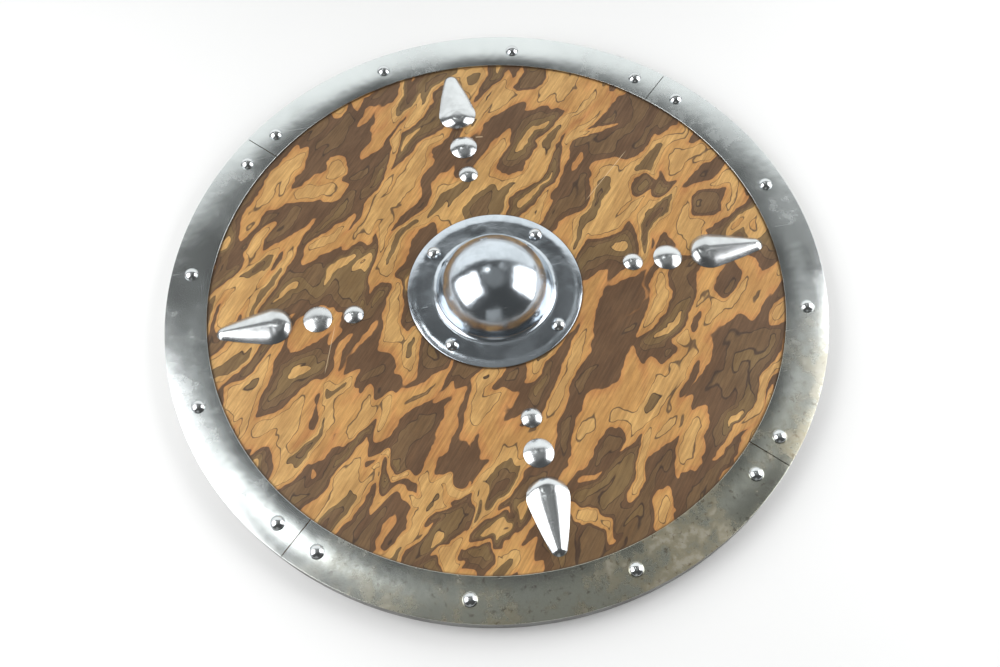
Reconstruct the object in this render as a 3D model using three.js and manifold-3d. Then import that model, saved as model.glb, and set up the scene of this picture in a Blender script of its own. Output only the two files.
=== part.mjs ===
// A flat round shield: a veneered plywood board with a riveted steel rim, a hollow steel boss over a
// hand hole, and four rows of steel ornaments that make a cross. Millimetres, +Z out of the face.
// The shield lies on its back: the middle of the back is the origin, and the rows run along X and Y.

import * as THREE from 'three';
import { mergeVertices } from 'three/addons/utils/BufferGeometryUtils.js';
import Module from 'manifold-3d';

// ---------------------------------------------------------------- driving dimensions

const shieldRadius = 305;
const boardThickness = 15;
const sheetThickness = 1.6;
const fitGap = 0.3;
const circleSides = 84;

const edgeBandThickness = 1.2;
const stripOverhang = 0.4;

const rimWidth = 38.4;
const stripCount = 4;
const stripSides = circleSides / stripCount;
const firstJointAngle = 43.5;
const jointHalfGap = 0.4;

const rivetHeadRadius = 6.5;
const rivetHeadHeight = 4.5;
const rivetShankRadius = 2.5;
const rivetSides = 10;
const rivetTurnsInStrip = [-40.6, -13.8, 13.8, 40.6];
const stripRivetDrift = [0.5, 0.4, 0.1, -0.5];

const flangeRadius = 81;
const domeRadius = 54;
const domeHeight = 47;
const domeFootFillet = 6.5;
const bossSides = 36;
const domeSteps = 6;
const footSteps = 2;
const bossRivetCircle = 69.4;

const smallStud = { radius: 9.6, curve: 12.5, circle: 132.4, sides: 12 };
const largeStud = { radius: 13.35, curve: 21.7, circle: 165.4, sides: 14 };
const studSheet = 1.1;
const nailRadius = 1.4;
const nailDepth = 10;
const nailPoint = 2.5;

const tearRoundRadius = 18.5;
const tearTipRadius = 7.2;
const tearLength = 69.6;
const tearRoundRise = 7.4;
const tearTipRise = 4;
const tearSideCurve = 2;
const tearEndCurve = 5;
const tearSideSwell = 0.5;
const tearRoundSteps = 8;
const tearSideSteps = 3;
const tearTipSteps = 4;

// The four rows as the maker laid them: the way each runs, how far its inner stud sits to one side of
// the true radius, how far the row leans from it, and where its teardrop starts. Clockwise is positive.
const rows = [
  { runsAt: 90, aside: -0.5, lean: 2.4, tearStart: 188.3 },
  { runsAt: 0, aside: -1.8, lean: 3.5, tearStart: 186.9 },
  { runsAt: 270, aside: -6.2, lean: 1.3, tearStart: 186.9 },
  { runsAt: 180, aside: 0.7, lean: 3.0, tearStart: 188.4 },
];

const handHoleRadius = 52;
const handHoleSides = 32;
const gripEndLength = 32;
const gripWidth = 26;
const gripEndThickness = 8;
const gripMiddleThickness = 14.5;
const gripEdgeRound = 4;
const gripShoulder = 16;

const screwCircle = 70;
const screwHeadRadius = 4.5;
const screwShankRadius = 1.8;
const screwLength = 13;
const screwRecess = 0.2;
const rivetHoleSides = 8;
const nailHoleSides = 6;

// ---------------------------------------------------------------- levels worked out from them

const faceLevel = boardThickness;
const sheetBottom = faceLevel + fitGap;
const sheetTop = sheetBottom + sheetThickness;
const rivetSeat = sheetTop + fitGap;
const rivetCircle = shieldRadius - rimWidth / 2;
const handReach = handHoleRadius + gripEndLength;

// ---------------------------------------------------------------- materials

const steel = (name, colour, roughness) =>
  new THREE.MeshStandardMaterial({ name, color: colour, roughness, metalness: 1 });
const timber = (name, colour, roughness) =>
  new THREE.MeshStandardMaterial({ name, color: colour, roughness, metalness: 0 });

const materials = {
  board: timber('figured_veneer', 0xa27a4c, 0.5),
  strip: steel('rim_steel', 0xb4b8b8, 0.32),
  band: steel('edge_steel', 0x8f908c, 0.45),
  boss: steel('boss_steel', 0xc4c8ca, 0.16),
  fastener: steel('rivet_steel', 0xc9cccd, 0.14),
  ornament: steel('ornament_steel', 0xcfd2d3, 0.15),
  grip: timber('grip_wood', 0x9c7448, 0.6),
};

// ---------------------------------------------------------------- solids

const wasm = await Module();
wasm.setup();

/** Closed manifold solid of a geometry whose faces point out. */
function solidOf(source) {
  const bare = source.index ? source.clone() : source;
  for (const attribute of ['normal', 'uv']) bare.deleteAttribute(attribute);
  const geometry = mergeVertices(bare, 1e-4);
  const index = geometry.index.array;
  const kept = [];
  for (let i = 0; i < index.length; i += 3) {
    const [a, b, c] = [index[i], index[i + 1], index[i + 2]];
    if (a !== b && b !== c && c !== a) kept.push(a, b, c);
  }
  const mesh = new wasm.Mesh({
    numProp: 3,
    vertProperties: Float32Array.from(geometry.attributes.position.array),
    triVerts: Uint32Array.from(kept),
  });
  return new wasm.Manifold(mesh);
}

function geometryOf(solid) {
  const mesh = solid.getMesh();
  const geometry = new THREE.BufferGeometry();
  geometry.setAttribute('position', new THREE.BufferAttribute(mesh.vertProperties, 3));
  geometry.setIndex(new THREE.BufferAttribute(mesh.triVerts, 1));
  geometry.computeVertexNormals();
  return geometry;
}

/** Solid turned about Z. The profile [radius, height] runs from its lower axis point to its upper one. */
function turned(profile, sides) {
  const points = profile.map(([radius, height]) => new THREE.Vector2(radius, height));
  const geometry = new THREE.LatheGeometry(points, sides, Math.PI / sides);
  geometry.rotateX(Math.PI / 2);
  return solidOf(geometry);
}

/** Flat plate of an outline, from one level up to another. */
function plate(outline, bottom, top, curveSegments = 12) {
  const options = { depth: top - bottom, bevelEnabled: false, curveSegments };
  const geometry = new THREE.ExtrudeGeometry(outline, options);
  geometry.translate(0, 0, bottom);
  return solidOf(geometry);
}

/** Corner radius of a many-sided hole whose flats clear a shank by the fit gap. */
function holeRadius(shankRadius, sides) {
  return (shankRadius + fitGap) / Math.cos(Math.PI / sides);
}

/** Straight round peg, for nails and for cutting holes. */
function peg(x, y, radius, bottom, top, sides) {
  const geometry = new THREE.CylinderGeometry(radius, radius, top - bottom, sides);
  geometry.rotateX(Math.PI / 2);
  geometry.translate(x, y, (bottom + top) / 2);
  return solidOf(geometry);
}

function polar(radius, degrees) {
  const angle = THREE.MathUtils.degToRad(degrees);
  return [radius * Math.cos(angle), radius * Math.sin(angle)];
}

/** Points of a circle about (centreR, centreZ) between two angles, in degrees, for a profile. */
function profileArc(centreR, centreZ, radius, from, to, steps) {
  return Array.from({ length: steps + 1 }, (_, i) => {
    const [r, z] = polar(radius, THREE.MathUtils.lerp(from, to, i / steps));
    return [centreR + r, centreZ + z];
  });
}

/** Closed outline with one corner for each side, of a circle. */
function circlePoints(x, y, radius, sides) {
  return Array.from({ length: sides }, (_, i) => {
    const [dx, dy] = polar(radius, (360 * i) / sides);
    return new THREE.Vector2(x + dx, y + dy);
  });
}

function rivetHole(x, y) {
  return circlePoints(x, y, holeRadius(rivetShankRadius, rivetHoleSides), rivetHoleSides);
}

const shield = new THREE.Group();

function add(name, geometry, material, x = 0, y = 0, turn = 0) {
  const mesh = new THREE.Mesh(geometry, material);
  mesh.name = name;
  mesh.position.set(x, y, 0);
  mesh.rotation.z = THREE.MathUtils.degToRad(turn);
  shield.add(mesh);
}

// ---------------------------------------------------------------- where the fastenings go

const stripMiddles = stripRivetDrift.map((_, i) => firstJointAngle + (360 / stripCount) * (i + 0.5));
const rimRivetPlaces = stripMiddles.flatMap((middle, i) =>
  rivetTurnsInStrip.map((turn) => polar(rivetCircle, middle + turn + stripRivetDrift[i])));
const bossRivetPlaces = [45, 135, 225, 315].map((angle) => polar(bossRivetCircle, angle));

/** Place on a row, this far out from the middle of the shield, and the angle that the row runs at. */
function placeOnRow(row, distance) {
  const runsAt = row.runsAt - row.lean;
  const [startX, startY] = polar(smallStud.circle, row.runsAt);
  const [asideX, asideY] = polar(row.aside, row.runsAt - 90);
  const [alongX, alongY] = polar(distance - smallStud.circle, runsAt);
  return { x: startX + asideX + alongX, y: startY + asideY + alongY, runsAt };
}

const tearPins = [tearRoundRadius, tearLength - tearTipRadius];
const nailPlaces = rows.flatMap((row) =>
  [smallStud.circle, largeStud.circle, ...tearPins.map((along) => row.tearStart + along)]
    .map((distance) => placeOnRow(row, distance)));
const screwPlaces = [[-screwCircle, 0], [screwCircle, 0]];

// ---------------------------------------------------------------- board

function makeBoard() {
  const radius = shieldRadius - stripOverhang - edgeBandThickness - fitGap;
  const outline = new THREE.Shape(circlePoints(0, 0, radius, circleSides));
  outline.holes.push(new THREE.Path(circlePoints(0, 0, handHoleRadius, handHoleSides)));
  for (const [x, y] of [...rimRivetPlaces, ...bossRivetPlaces]) {
    outline.holes.push(new THREE.Path(rivetHole(x, y)));
  }
  let board = plate(outline, 0, faceLevel);
  const nailHoleFloor = faceLevel - nailDepth - fitGap;
  for (const { x, y } of nailPlaces) {
    const hole = peg(
      x, y, holeRadius(nailRadius, nailHoleSides), nailHoleFloor, faceLevel + 1, nailHoleSides);
    board = board.subtract(hole);
  }
  for (const [x, y] of screwPlaces) {
    const hole = peg(x, y, screwShankRadius + fitGap, -1, screwLength + fitGap, rivetHoleSides);
    board = board.subtract(hole);
  }
  const pocket = new THREE.BoxGeometry(
    2 * (handReach + fitGap), gripWidth + 2 * fitGap, 2 * (gripEndThickness + fitGap));
  return board.subtract(solidOf(pocket));
}

// ---------------------------------------------------------------- rim

function makeStrip() {
  const innerRadius = shieldRadius - rimWidth;
  const halfTurn = 180 / stripCount;
  const arc = (radius, from, to) => {
    const inset = THREE.MathUtils.radToDeg(Math.asin(jointHalfGap / radius));
    const ends = [from + Math.sign(to - from) * inset, to - Math.sign(to - from) * inset];
    return profileArc(0, 0, radius, ends[0], ends[1], stripSides);
  };
  const edge = [...arc(shieldRadius, -halfTurn, halfTurn), ...arc(innerRadius, halfTurn, -halfTurn)];
  return new THREE.Shape(edge.map(([x, y]) => new THREE.Vector2(x, y)));
}

function addRim() {
  stripMiddles.forEach((middle, i) => {
    const outline = makeStrip();
    for (const turn of rivetTurnsInStrip) {
      const [x, y] = polar(rivetCircle, turn + stripRivetDrift[i]);
      outline.holes.push(new THREE.Path(rivetHole(x, y)));
    }
    const strip = plate(outline, sheetBottom, sheetTop);
    add(`rim_strip_${i + 1}`, geometryOf(strip), materials.strip, 0, 0, middle);
  });
  const bandOutside = shieldRadius - stripOverhang;
  const band = new THREE.Shape(circlePoints(0, 0, bandOutside, circleSides));
  const inside = circlePoints(0, 0, bandOutside - edgeBandThickness, circleSides);
  band.holes.push(new THREE.Path(inside));
  add('edge_band', geometryOf(plate(band, 0, faceLevel)), materials.band);
}

// ---------------------------------------------------------------- rivets

/** Domed head on the sheet, and a shank whose end is hammered flush with the back. */
function makeRivet() {
  const curve = (rivetHeadRadius ** 2 + rivetHeadHeight ** 2) / (2 * rivetHeadHeight);
  const curveCentre = rivetSeat + rivetHeadHeight - curve;
  const edgeAngle = THREE.MathUtils.radToDeg(Math.acos(rivetHeadRadius / curve));
  const profile = [
    [0, fitGap],
    [rivetShankRadius, fitGap],
    [rivetShankRadius, rivetSeat],
    ...profileArc(0, curveCentre, curve, edgeAngle, 90, 3),
  ];
  profile[profile.length - 1][0] = 0;
  return geometryOf(turned(profile, rivetSides));
}

function addRivets() {
  const rivet = makeRivet();
  rimRivetPlaces.forEach(([x, y], i) => {
    add(`rim_rivet_${String(i + 1).padStart(2, '0')}`, rivet, materials.fastener, x, y);
  });
  bossRivetPlaces.forEach(([x, y], i) => {
    add(`boss_rivet_${i + 1}`, rivet, materials.fastener, x, y);
  });
}

// ---------------------------------------------------------------- boss

/** Half section of one face of the boss's sheet, this far under its outer face, from its apex outwards. */
function bossFace(depth) {
  const domeCentre = sheetTop + domeHeight - domeRadius;
  const footCentreHeight = sheetTop + domeFootFillet;
  const reach = domeRadius + domeFootFillet;
  const footCentreRadius = Math.sqrt(reach ** 2 - (footCentreHeight - domeCentre) ** 2);
  const meeting = THREE.MathUtils.radToDeg(Math.asin((footCentreHeight - domeCentre) / reach));
  const foot = domeFootFillet + depth;
  const face = [
    ...profileArc(0, domeCentre, domeRadius - depth, 90, meeting, domeSteps),
    ...profileArc(footCentreRadius, footCentreHeight, foot, 180 + meeting, 270, footSteps).slice(1),
    [flangeRadius, sheetTop - depth],
  ];
  face[0][0] = 0;
  return face;
}

function addBoss() {
  let boss = turned([...bossFace(sheetThickness), ...bossFace(0).reverse()], bossSides);
  for (const [x, y] of bossRivetPlaces) {
    const hole = peg(
      x, y, holeRadius(rivetShankRadius, rivetHoleSides), sheetBottom - 1, sheetTop + 1, rivetHoleSides);
    boss = boss.subtract(hole);
  }
  add('boss', geometryOf(boss), materials.boss);
}

// ---------------------------------------------------------------- ornaments

/** Domed sheet head, hollow below, on a pointed nail. */
function makeStud({ radius, curve, sides }) {
  const drop = Math.sqrt(curve ** 2 - radius ** 2);
  const centre = sheetBottom - drop;
  const inner = curve - studSheet;
  const angleAt = (sphere, height) => THREE.MathUtils.radToDeg(Math.asin(height / sphere));
  const nailTop = THREE.MathUtils.radToDeg(Math.acos(nailRadius / inner));
  const nailBottom = faceLevel - nailDepth;
  const profile = [
    [0, nailBottom],
    [nailRadius, nailBottom + nailPoint],
    ...profileArc(0, centre, inner, nailTop, angleAt(inner, drop), 2),
    ...profileArc(0, centre, curve, angleAt(curve, drop), 90, 3),
  ];
  profile[profile.length - 1][0] = 0;
  return geometryOf(turned(profile, sides));
}

/** Outline points of the teardrop, each with the point of its spine that it swells away from. */
function tearOutline() {
  const round = tearRoundRadius;
  const tip = tearLength - tearTipRadius;
  const sideTilt = THREE.MathUtils.radToDeg(Math.asin((tearRoundRadius - tearTipRadius) / (tip - round)));
  const arc = (centre, radius, from, to, steps) =>
    profileArc(centre, 0, radius, from, to, steps).map(([x, y]) => ({ x, y, spine: centre }));
  const tipArc = arc(tip, tearTipRadius, sideTilt - 90, 90 - sideTilt, tearTipSteps);
  const roundArc = arc(round, tearRoundRadius, 90 - sideTilt, 270 + sideTilt, tearRoundSteps);
  const side = (start, end) => Array.from({ length: tearSideSteps - 1 }, (_, i) => {
    const share = (i + 1) / tearSideSteps;
    const swell = tearSideSwell * Math.sin(Math.PI * share) * Math.sign(start.y);
    return {
      x: THREE.MathUtils.lerp(start.x, end.x, share),
      y: THREE.MathUtils.lerp(start.y, end.y, share) + swell,
      spine: THREE.MathUtils.lerp(start.spine, end.spine, share),
    };
  });
  const upperSide = side(tipArc.at(-1), roundArc[0]);
  const lowerSide = side(roundArc.at(-1), tipArc[0]);
  return [...tipArc, ...upperSide, ...roundArc, ...lowerSide];
}

/** Pressed teardrop shell, hollow below, with two short pins. Its round end is at x = 0. */
function makeTeardrop() {
  const outline = tearOutline();
  const rise = (spine) => {
    const share = (spine - tearRoundRadius) / (tearLength - tearTipRadius - tearRoundRadius);
    return THREE.MathUtils.lerp(tearRoundRise, tearTipRise, share);
  };
  const ring = (spread, depth, inset) => outline.map(({ x, y, spine }) => {
    const reach = Math.hypot(x - spine, y);
    const scale = (spread * (reach - inset)) / reach;
    const towardsEnd = Math.max(0, (spine - x) / reach);
    const curve = THREE.MathUtils.lerp(tearSideCurve, tearEndCurve, towardsEnd ** 2);
    const height = (rise(spine) - depth) * (1 - spread ** curve);
    return [spine + (x - spine) * scale, y * scale, sheetBottom + height];
  });
  const rings = [
    ...[0, 0.6, 1].map((spread) => ring(spread, studSheet, studSheet)),
    ...[1, 0.82, 0.5, 0].map((spread) => ring(spread, 0, 0)),
  ];
  const count = outline.length;
  const index = [];
  for (let r = 0; r + 1 < rings.length; r += 1) {
    for (let i = 0; i < count; i += 1) {
      const next = (i + 1) % count;
      const [a, b, c, d] = [r * count + i, r * count + next, (r + 1) * count + next, (r + 1) * count + i];
      index.push(a, b, c, a, c, d);
    }
  }
  const geometry = new THREE.BufferGeometry();
  geometry.setAttribute('position', new THREE.Float32BufferAttribute(rings.flat(2), 3));
  geometry.setIndex(index);
  const pin = (x) =>
    peg(x, 0, nailRadius, faceLevel - nailDepth, sheetBottom + rise(x) - studSheet / 2, nailHoleSides);
  return tearPins.reduce((solid, x) => solid.add(pin(x)), solidOf(geometry));
}

function addOrnaments() {
  const small = makeStud(smallStud);
  const large = makeStud(largeStud);
  const teardrop = geometryOf(makeTeardrop());
  rows.forEach((row, i) => {
    const pieces = [
      ['small_stud', small, smallStud.circle],
      ['large_stud', large, largeStud.circle],
      ['teardrop', teardrop, row.tearStart],
    ];
    for (const [name, geometry, distance] of pieces) {
      const { x, y, runsAt } = placeOnRow(row, distance);
      add(`${name}_${i + 1}`, geometry, materials.ornament, x, y, runsAt);
    }
  });
}

// ---------------------------------------------------------------- grip

/** Wooden bar across the hand hole, let into the back at both ends and thicker where the hand holds it. */
function addGrip() {
  const side = new THREE.Shape();
  side.moveTo(-handReach, 0);
  side.lineTo(handReach, 0);
  side.lineTo(handReach, gripEndThickness);
  side.lineTo(handHoleRadius - 1, gripEndThickness);
  side.lineTo(handHoleRadius - gripShoulder, gripMiddleThickness);
  side.lineTo(gripShoulder - handHoleRadius, gripMiddleThickness);
  side.lineTo(1 - handHoleRadius, gripEndThickness);
  side.lineTo(-handReach, gripEndThickness);
  const geometry = new THREE.ExtrudeGeometry(side, {
    depth: gripWidth - 2 * gripEdgeRound,
    bevelThickness: gripEdgeRound,
    bevelSize: gripEdgeRound / 2,
    bevelOffset: -gripEdgeRound / 2,
    bevelSegments: 2,
  });
  geometry.translate(0, 0, gripEdgeRound - gripWidth / 2);
  geometry.rotateX(Math.PI / 2);
  let grip = solidOf(geometry);
  for (const [x, y] of screwPlaces) {
    const seat = makeScrewSolid(fitGap);
    const mesh = geometryOf(seat);
    mesh.translate(x, y, 0);
    grip = grip.subtract(solidOf(mesh));
  }
  add('grip', geometryOf(grip), materials.grip);
}

/** Countersunk wood screw, head to the back, grown by a clearance when it cuts its own seat. */
function makeScrewSolid(clearance) {
  const head = screwHeadRadius + clearance;
  const shank = screwShankRadius + clearance;
  const bottom = clearance > 0 ? -1 : screwRecess;
  const headTop = screwRecess + screwHeadRadius - screwShankRadius + clearance;
  const profile = [
    [0, bottom],
    [head, bottom],
    [head, screwRecess + clearance],
    [shank, headTop + clearance],
    [shank, screwLength - nailPoint],
    [0, screwLength + clearance],
  ];
  return turned(clearance > 0 ? profile : profile.filter((_, i) => i !== 2), rivetSides);
}

function addScrews() {
  const screw = geometryOf(makeScrewSolid(0));
  screwPlaces.forEach(([x, y], i) => add(`grip_screw_${i + 1}`, screw, materials.fastener, x, y));
}

// ---------------------------------------------------------------- the shield

add('board', geometryOf(makeBoard()), materials.board);
addRim();
addRivets();
addBoss();
addOrnaments();
addGrip();
addScrews();

export default shield;
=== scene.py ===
"""A flat wooden round shield with a riveted steel rim, a steel boss and four rows of steel ornaments.

Metres, +Z out of the face. The shield lies on its back on a pale floor.
"""

import math

import bmesh
import bpy
import numpy as np
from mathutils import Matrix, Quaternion, Vector


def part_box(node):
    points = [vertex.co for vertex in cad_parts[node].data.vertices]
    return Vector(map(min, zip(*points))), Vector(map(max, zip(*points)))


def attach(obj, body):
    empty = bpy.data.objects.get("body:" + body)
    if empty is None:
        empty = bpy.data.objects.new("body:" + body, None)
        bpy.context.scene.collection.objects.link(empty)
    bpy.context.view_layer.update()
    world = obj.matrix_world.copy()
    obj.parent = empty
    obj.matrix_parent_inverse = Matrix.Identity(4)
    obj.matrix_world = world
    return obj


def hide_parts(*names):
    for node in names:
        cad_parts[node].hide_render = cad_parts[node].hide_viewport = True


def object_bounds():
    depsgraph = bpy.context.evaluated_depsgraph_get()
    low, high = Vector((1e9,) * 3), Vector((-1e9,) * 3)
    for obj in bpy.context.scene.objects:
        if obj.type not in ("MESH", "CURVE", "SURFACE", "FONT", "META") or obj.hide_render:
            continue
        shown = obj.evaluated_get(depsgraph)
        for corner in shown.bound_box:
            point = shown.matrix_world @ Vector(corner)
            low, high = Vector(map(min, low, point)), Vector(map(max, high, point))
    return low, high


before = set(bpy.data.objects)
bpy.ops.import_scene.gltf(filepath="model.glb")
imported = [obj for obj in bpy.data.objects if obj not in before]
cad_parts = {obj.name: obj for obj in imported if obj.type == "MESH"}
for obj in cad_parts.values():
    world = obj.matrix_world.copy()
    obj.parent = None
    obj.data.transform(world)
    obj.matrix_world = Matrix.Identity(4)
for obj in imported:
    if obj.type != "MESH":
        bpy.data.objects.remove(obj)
cad_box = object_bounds()

MM = 0.001
BODY = "root"
STRIPS = [f"rim_strip_{i}" for i in range(1, 5)]
RIM_RIVETS = [f"rim_rivet_{i:02d}" for i in range(1, 17)]
BOSS_RIVETS = [f"boss_rivet_{i}" for i in range(1, 5)]
SMALL_STUDS = [f"small_stud_{i}" for i in range(1, 5)]
LARGE_STUDS = [f"large_stud_{i}" for i in range(1, 5)]
TEARDROPS = [f"teardrop_{i}" for i in range(1, 5)]
SCREWS = ["grip_screw_1", "grip_screw_2"]

SHEET = 1.6 * MM
SMALL_GAP = 0.3 * MM
FIBRE_ANGLE = math.radians(50)
RIM_INSIDE = 266.6 * MM
FLANGE_RADIUS = 81 * MM


# ------------------------------------------------------------------ node trees


class Value:
    """A number in a shader, so that its maths can be written as an expression."""

    def __init__(self, tree, socket):
        self.tree = tree
        self.socket = socket

    def _math(self, operation, first, second):
        node = self.tree.node("ShaderNodeMath", {"operation": operation}, {0: first, 1: second})
        return Value(self.tree, node.outputs[0])

    def __add__(self, other):
        return self._math("ADD", self, other)

    def __radd__(self, other):
        return self._math("ADD", other, self)

    def __sub__(self, other):
        return self._math("SUBTRACT", self, other)

    def __rsub__(self, other):
        return self._math("SUBTRACT", other, self)

    def __mul__(self, other):
        return self._math("MULTIPLY", self, other)

    def __rmul__(self, other):
        return self._math("MULTIPLY", other, self)

    def __truediv__(self, other):
        return self._math("DIVIDE", self, other)

    def __pow__(self, other):
        return self._math("POWER", self, other)

    def __rpow__(self, other):
        return self._math("POWER", other, self)

    def __mod__(self, other):
        return self._math("FLOORED_MODULO", self, other)


class Tree:
    """A node tree of a material, the world or a shape."""

    def __init__(self, node_tree):
        self.nodes = node_tree.nodes
        self.links = node_tree.links

    def node(self, kind, settings=None, inputs=None):
        """One node: its settings first, then the value or link of each socket, by name or number."""
        made = self.nodes.new(kind)
        for name, value in (settings or {}).items():
            if name == "stops":
                self._set_stops(made.color_ramp, value)
            else:
                setattr(made, name, value)
        for key, value in (inputs or {}).items():
            if isinstance(value, Value):
                self.links.new(value.socket, made.inputs[key])
            elif isinstance(value, bpy.types.NodeSocket):
                self.links.new(value, made.inputs[key])
            else:
                made.inputs[key].default_value = value
        return made

    @staticmethod
    def _set_stops(ramp, stops):
        while len(ramp.elements) < len(stops):
            ramp.elements.new(0.5)
        for element, (position, colour) in zip(ramp.elements, stops):
            element.position = position
            element.color = (*colour, 1)

    def number(self, kind, settings=None, inputs=None, output=0):
        return Value(self, self.node(kind, settings, inputs).outputs[output])

    def noise(self, vector, scale, detail=2.0, roughness=0.5, flat=True):
        settings = {"noise_dimensions": "2D" if flat else "3D"}
        inputs = {"Vector": vector, "Scale": scale, "Detail": detail, "Roughness": roughness}
        return self.number("ShaderNodeTexNoise", settings, inputs)

    def span(self, value, low, high, start=0.0, end=1.0, smooth=True):
        """Carries value from the range low to high over to start to end, held at both ends."""
        settings = {"interpolation_type": "SMOOTHSTEP" if smooth else "LINEAR"}
        return self.number("ShaderNodeMapRange", settings, {0: value, 1: low, 2: high, 3: start, 4: end})

    def vector(self, operation, first, second=None, output=0):
        inputs = {0: first} if second is None else {0: first, 1: second}
        return self.node("ShaderNodeVectorMath", {"operation": operation}, inputs).outputs[output]

    def scaled(self, vector, factor):
        node = self.node("ShaderNodeVectorMath", {"operation": "SCALE"}, {0: vector, "Scale": factor})
        return node.outputs[0]

    def mapped(self, vector, location=(0, 0, 0), turn=0.0, scale=(1, 1, 1), kind="POINT"):
        inputs = {"Vector": vector, "Location": location, "Rotation": (0, 0, turn), "Scale": scale}
        return self.node("ShaderNodeMapping", {"vector_type": kind}, inputs).outputs[0]

    def mixed(self, factor, first, second, blend="MIX"):
        settings = {"data_type": "RGBA", "blend_type": blend}
        return self.node("ShaderNodeMix", settings, {0: factor, 6: first, 7: second}).outputs[2]

    def place(self):
        """The point on the piece, in its own coordinates, which are the shield's."""
        return self.node("ShaderNodeTexCoord").outputs["Object"]

    def bump(self, height, distance, strength=1.0):
        inputs = {"Strength": strength, "Distance": distance, "Height": height}
        return self.node("ShaderNodeBump", None, inputs).outputs[0]


def colour(red, green, blue):
    """Linear colour, with alpha, of a colour given as it is seen on a screen, 0 to 255."""
    def linear(c):
        c /= 255
        return c / 12.92 if c <= 0.04045 else ((c + 0.055) / 1.055) ** 2.4
    return (linear(red), linear(green), linear(blue), 1)


def new_finish(name, make_inputs, **constants):
    """Material whose changing sockets come from make_inputs(tree), and the rest are constants."""
    material = bpy.data.materials.new(name)
    material.use_nodes = True
    tree = Tree(material.node_tree)
    shader = tree.nodes["Principled BSDF"]
    for socket, value in constants.items():
        shader.inputs[socket.replace("_", " ")].default_value = value
    for socket, value in make_inputs(tree).items():
        source = value.socket if isinstance(value, Value) else value
        tree.links.new(source, shader.inputs[socket])
    return material


# ------------------------------------------------------------------ wood

GOLD = colour(196, 155, 95)
WARM_GOLD = colour(190, 144, 84)
ORANGE = colour(184, 130, 76)
PURPLE_BROWN = colour(98, 72, 48)
OLIVE_BROWN = colour(109, 84, 55)
OLIVE = colour(119, 95, 60)
# Dark glue brown, also used for pores and for the painted shade against the rim and the boss.
GLUE_AND_SHADE_BROWN = colour(70, 52, 37)

# Depth of each dyed layer in the stack, which repeats every STACK_LAYERS.
STACK_LAYERS = 5
DEPTH = {"gold": 0.5, "orange": 1.6, "brown": 2.5, "umber": 3.5, "olive": 4.5, "deep gold": 5.5}

# The waves of the stack between the broad areas: depths in layers, lengths in decimetres.
BASE_LEVEL = 2.3
BASE_SPREAD = 15.0
BASE_STRETCH = (0.42, 1.75, 1)
BASE_SCALE = 2.0
RIPPLE = 2.0
RIPPLE_STRETCH = (0.9, 4.0, 1)
SWIRL = 0.30
SWIRL_SCALE = 1.7
TEETH = 0.16
LOW_LEFT_TEETH = 0.70
TEETH_STRETCH = (0.5, 4.4, 1)
WOBBLE = 0.045
WOBBLE_SCALE = 9.0
AREA_HOLD = 0.92

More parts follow.
